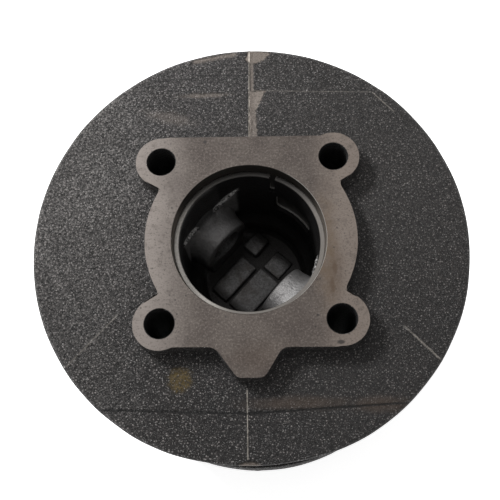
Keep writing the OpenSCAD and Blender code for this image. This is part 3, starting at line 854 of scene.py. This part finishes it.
    # painted shadow: a dark line under the lower step's edge, which faces away from the light
    step_shadow = t.m("MAXIMUM", t.line((-47.0, -50.6), (-2.4, -52.9), 0.3, 0.6), t.line((-2.4, -52.9), (47.0, -50.8), 0.3, 0.6))
    col = t.mix(t.m("MULTIPLY", step_shadow, t.m("MULTIPLY", up, 0.75)), col, (0.008, 0.008, 0.008))
    h = t.m("ADD", t.m("MULTIPLY", grain, 0.9), t.m("MULTIPLY", fine, 0.6))
    h = t.m("ADD", h, t.m("MULTIPLY", dome, t.m("ADD", 0.12, t.m("MULTIPLY", proud, 0.3))))
    h = t.m("ADD", h, t.m("MULTIPLY", mid, 0.8))
    h = t.m("MULTIPLY", h, t.mixf(side, 1.0, 0.62))
    cast_n = t.bump(t.m("MULTIPLY", h, t.m("SUBTRACT", 1.0, t.m("MULTIPLY", patch, 0.85))), 1.0, 1.0, t.rounded(0.7))
    # machined flange face
    face = t.m("MULTIPLY", t.m("GREATER_THAN", t.z, -0.05), 1.0)
    brush = t.noise(1.0, 3.0, 0.6, vec=t.stretch(0.35, 4.0, 1.0, 0.25))
    cloud = t.noise(0.09, 4.0, 0.6)
    speck = t.noise(1.5, 5.0, 0.8)
    fcol = t.mix(t.band(cloud, 0.3, 0.72), (0.066, 0.052, 0.043), (0.040, 0.029, 0.024))
    # painted light: the face is lighter towards the left, where the light falls; it is also made lighter near the right
    # edge
    fcol = t.mix(t.m("MULTIPLY", t.band(t.x, -15.0, -33.0), 0.9), fcol, (0.205, 0.178, 0.161))
    fcol = t.mix(t.m("MULTIPLY", t.band(t.x, 18.0, 30.0), 0.7), fcol, (0.185, 0.150, 0.126))
    fcol = t.mix(t.m("MULTIPLY", t.band(brush, 0.35, 0.7), 0.25), fcol, (0.100, 0.083, 0.072))
    fcol = t.mix(t.m("MULTIPLY", t.band(speck, 0.5, 0.64), 0.7), fcol, (0.155, 0.132, 0.117))
    fcol = t.mix(t.m("MULTIPLY", t.band(speck, 0.48, 0.36), 0.7), fcol, (0.026, 0.020, 0.017))
    fcol = t.mix(t.m("MULTIPLY", t.band(t.noise(0.35, 4.0, 0.65), 0.52, 0.72), 0.5), fcol, (0.052, 0.041, 0.034))
    stain = t.m("MAXIMUM", t.spot(26.0, -10.4, 1.1, 0.6, 0.6, 0.6, sx=0.75, sy=2.4), t.spot(25.0, -15.6, 1.1, 0.6, 0.6, 0.6, sx=0.8, sy=2.2))
    stain = t.m("MAXIMUM", stain, t.m("MULTIPLY", t.spot(26.5, -11.0, 3.0, 0.8, 0.6, 0.35, sx=0.8, sy=2.4), 0.4))
    stain = t.m("MAXIMUM", stain, t.m("MULTIPLY", t.spot(2.0, -37.0, 5.0, 0.8, 0.5, 0.3, sx=1.6, sy=0.8), 0.3))
    tint = t.m("MULTIPLY", t.spot(23.6, -5.0, 3.4, 0.9, 0.5, 0.3, sx=0.95, sy=4.2), t.band(t.noise(0.22, 3.0, 0.6), 0.3, 0.65, 0.25, 0.75))
    fcol = t.mix(tint, fcol, (0.088, 0.058, 0.033))
    fcol = t.mix(t.m("MULTIPLY", stain, 0.7), fcol, (0.052, 0.029, 0.014))
    blot = t.m("MAXIMUM", t.spot(-13.4, 32.6, 0.55, 0.4, 0.5, 1.5), t.spot(26.6, -33.2, 0.7, 0.4, 0.5, 1.2, sx=1.6, sy=0.8))
    blot = t.m("MAXIMUM", blot, t.spot(20.2, -24.9, 0.4, 0.4, 0.5, 1.5))
    fcol = t.mix(t.m("MULTIPLY", blot, 0.85), fcol, (0.012, 0.009, 0.008))
    pit = t.voronoi(0.42)
    pits = t.m("MULTIPLY", t.band(pit.outputs["Distance"], 0.0, 0.2, 1.0, 0.0), t.band(t.noise(0.13, 2.0, 0.5), 0.45, 0.58))
    fcol = t.mix(t.m("MULTIPLY", pits, 0.9), fcol, (0.014, 0.012, 0.010))
    # port faces and the joint face of the passage, milled
    side_face = t.m("MAXIMUM", t.m("LESS_THAN", t.m("ABSOLUTE", t.m("SUBTRACT", t.y, 62.0)), 0.04), t.m("LESS_THAN", t.m("ABSOLUTE", t.m("SUBTRACT", t.x, 62.0)), 0.04))
    side_face = t.m("MAXIMUM", side_face, t.m("LESS_THAN", t.m("ABSOLUTE", t.m("ADD", t.y, 50.0)), 0.04))
    side_face = t.m("MULTIPLY", side_face, t.m("LESS_THAN", t.z, -8.75))
    mill = t.noise(0.9, 2.0, 0.6, vec=t.stretch(1.0, 1.0, 5.0))
    scol = t.mix(t.band(mill, 0.35, 0.65), (0.10, 0.092, 0.085), (0.17, 0.16, 0.148))
    # honed bore and drilled holes, with painted shade and a painted highlight
    rad = t.m("SQRT", t.m("ADD", t.m("MULTIPLY", t.x, t.x), t.m("MULTIPLY", t.y, t.y)))
    inbore = t.m("MULTIPLY", t.m("LESS_THAN", rad, BORE_R + 0.19), t.m("GREATER_THAN", rad, BORE_R - 0.1))
    inbore = t.m("MULTIPLY", inbore, t.m("GREATER_THAN", t.z, -105.0))
    chamber_shade = t.m("MULTIPLY", t.m("LESS_THAN", rad, BORE_R - 0.1), t.m("GREATER_THAN", t.z, -114.0))
    hx = t.m("SUBTRACT", t.m("ABSOLUTE", t.x), 27.4)
    hy = t.m("SUBTRACT", t.m("ABSOLUTE", t.y), 26.2)
    drill_shade = t.m("LESS_THAN", t.m("SQRT", t.m("ADD", t.m("MULTIPLY", hx, hx), t.m("MULTIPLY", hy, hy))), 4.6)
    col = t.mix(side_face, col, scol)
    # painted shade: the chamber deep inside the bore and the bolt holes darkened to near black
    col = t.mix(t.m("MULTIPLY", chamber_shade, 0.75), col, (0.020, 0.018, 0.016))
    col = t.mix(t.m("MULTIPLY", drill_shade, 0.9), col, (0.006, 0.006, 0.006))
    hone = t.noise(0.5, 3.0, 0.7, vec=t.stretch(1, 1, 6.0))
    bcol = t.mix(t.band(hone, 0.3, 0.7), (0.13, 0.112, 0.095), (0.19, 0.168, 0.145))
    # painted light and shade on the bore: darker towards the bottom, near black across the top, a painted highlight on
    # the chamfer at the right, and darker deeper down
    bcol = t.mix(t.m("MULTIPLY", t.band(t.y, -4.0, -16.0), 0.72), bcol, (0.040, 0.031, 0.025))
    bcol = t.mix(t.m("MULTIPLY", t.band(t.y, 6.0, 14.0), 0.85), bcol, (0.006, 0.0055, 0.005))
    bcol = t.mix(t.m("MULTIPLY", t.m("GREATER_THAN", rad, BORE_R + 0.02), t.m("MULTIPLY", t.band(t.x, 8.0, 17.0), 0.8)), bcol, (0.42, 0.40, 0.375))
    bcol = t.mix(t.band(t.z, -4.5, -7.0), bcol, (0.022, 0.020, 0.018))
    fn = t.bump(t.m("ADD", brush, t.m("MULTIPLY", speck, 1.2)), 0.035, 1.0)
    bn = t.bump(hone, 0.02, 1.0)
    mcol = t.mix(inbore, t.mix(face, col, fcol), bcol)
    rough = t.mixf(side_face, t.band(fine, 0.3, 0.7, 0.62, 0.46), 0.5)
    rough = t.mixf(inbore, t.mixf(face, rough, t.band(cloud, 0.3, 0.7, 0.5, 0.62)), t.band(t.z, -4.5, -7.0, 0.42, 0.6))
    metal = t.mixf(inbore, t.mixf(face, t.mixf(side_face, 0.35, 0.5), 0.35), t.band(t.z, -4.5, -7.0, 0.6, 0.25))
    n1 = t.t.nodes.new("ShaderNodeMix")
    n1.data_type = "VECTOR"
    t.put(n1.inputs[0], t.m("MAXIMUM", face, side_face))
    t.t.links.new(cast_n, n1.inputs[4])
    t.t.links.new(fn, n1.inputs[5])
    n2 = t.t.nodes.new("ShaderNodeMix")
    n2.data_type = "VECTOR"
    t.put(n2.inputs[0], inbore)
    t.t.links.new(n1.outputs[1], n2.inputs[4])
    t.t.links.new(bn, n2.inputs[5])
    return t.finish(mcol, rough, metal, n2.outputs[1])


def alloy():
    t = Tree("piston_alloy_cast_and_turned")
    rad = t.m("SQRT", t.m("ADD", t.m("MULTIPLY", t.x, t.x), t.m("MULTIPLY", t.y, t.y)))
    outer = t.m("GREATER_THAN", rad, 23.3)
    end = t.m("GREATER_THAN", t.z, SK - 0.2)
    turned = t.m("MAXIMUM", outer, end)
    c, s = math.cos(PT), math.sin(PT)
    u = t.m("ADD", t.m("MULTIPLY", t.x, c), t.m("MULTIPLY", t.y, s))
    v = t.m("SUBTRACT", t.m("MULTIPLY", t.y, c), t.m("MULTIPLY", t.x, s))
    au, av = t.m("ABSOLUTE", u), t.m("ABSOLUTE", v)
    g = t.noise(1.3, 4.0, 0.65)
    wide = t.noise(0.16, 3.0, 0.6)
    cast = t.mix(t.band(g, 0.3, 0.7), (0.10, 0.098, 0.098), (0.20, 0.196, 0.196))
    cast = t.mix(t.m("MULTIPLY", t.band(wide, 0.42, 0.62), 0.6), cast, (0.062, 0.052, 0.046))
    # brighter backs of the bosses; the one on the right is made the brighter
    back = t.m("MULTIPLY", t.band(t.z, -33.0, -28.5), t.m("MULTIPLY", t.band(au, 11.8, 12.6), t.band(av, 11.0, 9.6)))
    back = t.m("MULTIPLY", back, t.band(t.z, -17.0, -20.0))
    back = t.m("MULTIPLY", back, t.band(u, -8.0, 8.0, 0.3, 1.0))
    cast = t.mix(t.m("MULTIPLY", back, t.band(t.noise(0.35, 4.0, 0.6), 0.25, 0.62, 0.45, 1.0)), cast, (0.186, 0.182, 0.180))
    # painted shade: the walls between the bosses, the inner wall just inside the open end and the underside of the
    # crown darkened to near black, deep in the hollow
    hollow_shade = t.m("MULTIPLY", t.band(av, 9.0, 13.0), t.band(t.z, SK - 5.5, SK - 9.0))
    hollow_shade = t.m("MAXIMUM", hollow_shade, t.m("MULTIPLY", t.band(rad, 19.6, 21.4), t.band(t.z, SK - 0.8, SK - 3.0, 0.0, 0.86)))
    hollow_shade = t.m("MAXIMUM", hollow_shade, t.m("MULTIPLY", t.band(v, 4.0, 8.0), t.band(t.z, -44.0, -40.0)))
    zc = t.m("ADD", -25.3, t.m("MULTIPLY", t.m("MAXIMUM", t.m("SUBTRACT", av, 3.0), 0.0), 1.0))
    web = t.m("MULTIPLY", t.band(t.m("SUBTRACT", t.z, zc), 0.6, -0.4), t.band(t.z, -37.0, -33.0))
    web = t.m("MULTIPLY", web, t.m("MULTIPLY", t.band(av, 13.2, 12.0), t.band(au, 11.9, 12.6)))
    hollow_shade = t.m("MULTIPLY", hollow_shade, t.m("SUBTRACT", 1.0, web))
    hollow_shade = t.m("MAXIMUM", hollow_shade, t.band(t.z, CR + 6.15, CR + 5.35, 0.0, 0.97))
    cast = t.mix(t.m("MULTIPLY", hollow_shade, 0.95), cast, (0.006, 0.0055, 0.0055))
    cast = t.mix(t.m("MULTIPLY", web, t.band(t.noise(0.3, 4.0, 0.65), 0.3, 0.6, 0.25, 0.75)), cast, (0.235, 0.228, 0.226))
    # rough bead where the webs meet the skirt, painted bright as a highlight along it
    rim = t.m("MULTIPLY", t.band(t.m("ABSOLUTE", t.m("SUBTRACT", t.z, zc)), 2.1, 1.0), t.band(rad, 20.9, 21.4))
    rim = t.m("MULTIPLY", rim, t.m("MULTIPLY", t.band(av, 14.0, 12.0), t.band(t.noise(0.8, 4.0, 0.7), 0.36, 0.58)))
    rim = t.m("MULTIPLY", rim, t.m("SUBTRACT", 1.0, turned))
    cast = t.mix(rim, cast, (0.46, 0.45, 0.44))
    # painted shade: darker deeper inside the piston
    deep_shade = t.m("MULTIPLY", t.band(t.z, -38.0, -44.0), 0.3)
    cast = t.mix(deep_shade, cast, (0.035, 0.032, 0.030))
    lines = t.noise(1.0, 2.0, 0.5, vec=t.stretch(0.15, 0.15, 7.0))
    turn = t.mix(t.band(lines, 0.3, 0.7), (0.46, 0.45, 0.43), (0.56, 0.55, 0.53))
    lip = t.mix(t.band(g, 0.3, 0.7), (0.22, 0.205, 0.188), (0.30, 0.282, 0.26))
    # painted light and shade on the skirt's end face: darker towards the right and a painted shadow, near black, across
    # the top
    lip = t.mix(t.m("MULTIPLY", t.band(t.x, -15.0, -4.0), 0.85), lip, (0.105, 0.095, 0.086))
    lip = t.mix(t.m("MULTIPLY", t.band(t.y, 8.0, 17.0), 0.8), lip, (0.022, 0.020, 0.018))
    turn = t.mix(end, turn, lip)
    col = t.mix(turned, cast, turn)
    nn = t.bump(t.mixf(turned, t.m("ADD", g, t.m("MULTIPLY", wide, 2.0)), t.m("MULTIPLY", lines, 0.15)), 0.25, 1.0)
    rough = t.mixf(turned, t.mixf(back, 0.58, 0.56), t.mixf(end, 0.28, 0.5))
    return t.finish(col, rough, t.mixf(end, t.mixf(rim, 0.7, 0.3), 0.35), nn)


def plain_metal(name, c0, c1, rough, metal, grain=1.0, bump=0.1, bevel=0.0):
    t = Tree(name)
    g = t.noise(grain, 4.0, 0.65)
    c = t.noise(0.1, 3.0, 0.6)
    col = t.mix(t.band(g, 0.3, 0.7), c0, c1)
    col = t.mix(t.m("MULTIPLY", t.band(c, 0.4, 0.7), 0.35), col, tuple(v * 0.6 for v in c0))
    nn = t.bump(g, bump, 1.0, t.rounded(bevel) if bevel else None)
    return t.finish(col, t.band(g, 0.3, 0.7, rough + 0.08, rough - 0.08), metal, nn)


def give(ob, mat):
    ob.data.materials.clear()
    ob.data.materials.append(mat)


give(casting, cast_iron())
give(piston, alloy())
ring_mat = plain_metal("ring_iron_ground", (0.22, 0.22, 0.225), (0.32, 0.32, 0.33), 0.35, 0.9, 2.0, 0.02)
for n in ("top_ring", "second_ring", "third_ring"):
    give(NODES[n], ring_mat)
give(NODES["transfer_cover"], plain_metal("cover_cast", (0.11, 0.11, 0.112), (0.22, 0.22, 0.222), 0.5, 0.6, 1.2, 0.35, 0.6))
give(NODES["cover_gasket"], plain_metal("gasket_fibre", (0.06, 0.05, 0.04), (0.11, 0.09, 0.07), 0.85, 0.0, 1.5, 0.1))
for name, width in (("transfer_cover", 0.7), ("cover_screws", 0.3), ("cover_gasket", 0.1)):
    m = NODES[name].modifiers.new("edges", "BEVEL")
    m.width, m.segments, m.limit_method, m.angle_limit = width * MM, 2, "ANGLE", math.radians(50)
give(NODES["cover_screws"], plain_metal("screw_steel", (0.16, 0.155, 0.15), (0.27, 0.265, 0.255), 0.38, 0.8, 1.5, 0.05, 0.35))

# ------------------------------------------------------------------ floor, light, camera
floor_z = CAD_BOX[0][2]
me = D.meshes.new("floor")
s = 6.0
me.from_pydata([(-s, -s, floor_z), (s, -s, floor_z), (s, s, floor_z), (-s, s, floor_z)], [], [(0, 1, 2, 3)])
floor = D.objects.new("floor", me)
bpy.context.scene.collection.objects.link(floor)
fm = D.materials.new("floor_pale")
fm.use_nodes = True
b = fm.node_tree.nodes["Principled BSDF"]
b.inputs["Base Color"].default_value = (0.93, 0.93, 0.93, 1)
b.inputs["Roughness"].default_value = 0.9
b.inputs["Emission Color"].default_value = (1, 1, 1, 1)
b.inputs["Emission Strength"].default_value = 0.7
me.materials.append(fm)

w = D.worlds.new("studio")
w.use_nodes = True
w.node_tree.nodes["Background"].inputs[0].default_value = (1, 1, 1, 1)
w.node_tree.nodes["Background"].inputs[1].default_value = 0.47
bpy.context.scene.world = w


def area(name, loc, target, size, power, size_y=None):
    l = D.lights.new(name, "AREA")
    l.energy = power
    l.shape = "RECTANGLE" if size_y else "SQUARE"
    l.size = size
    if size_y:
        l.size_y = size_y
    o = D.objects.new(name, l)
    o.location = loc
    o.rotation_mode = "QUATERNION"
    o.rotation_quaternion = (Vector(target) - Vector(loc)).to_track_quat("-Z", "Y")
    bpy.context.scene.collection.objects.link(o)
    return o


area("key", (-0.66, 0.58, 0.62), (0, 0, -0.03), 0.22, 13)
area("top", (-0.15, 0.35, 1.0), (0, 0, -0.03), 0.35, 3)

cam = D.cameras.new("camera")
cam.sensor_width = 36.0
cam.lens = 780.0 / 500.0 * 36.0
cam.clip_start, cam.clip_end = 0.01, 20
co = D.objects.new("camera", cam)
R = ((0.99907, -0.02103, -0.03777), (-0.03105, -0.95703, -0.28831), (-0.03008, 0.28921, -0.95679))
rot = Matrix(((R[0][0], -R[1][0], -R[2][0]), (R[0][1], -R[1][1], -R[2][1]), (R[0][2], -R[1][2], -R[2][2])))
co.matrix_world = Matrix.Translation(Vector((7.52, -73.24, 228.94)) * MM) @ rot.to_4x4()
bpy.context.scene.collection.objects.link(co)
bpy.context.scene.camera = co
bpy.context.scene.view_settings.view_transform = "Standard"
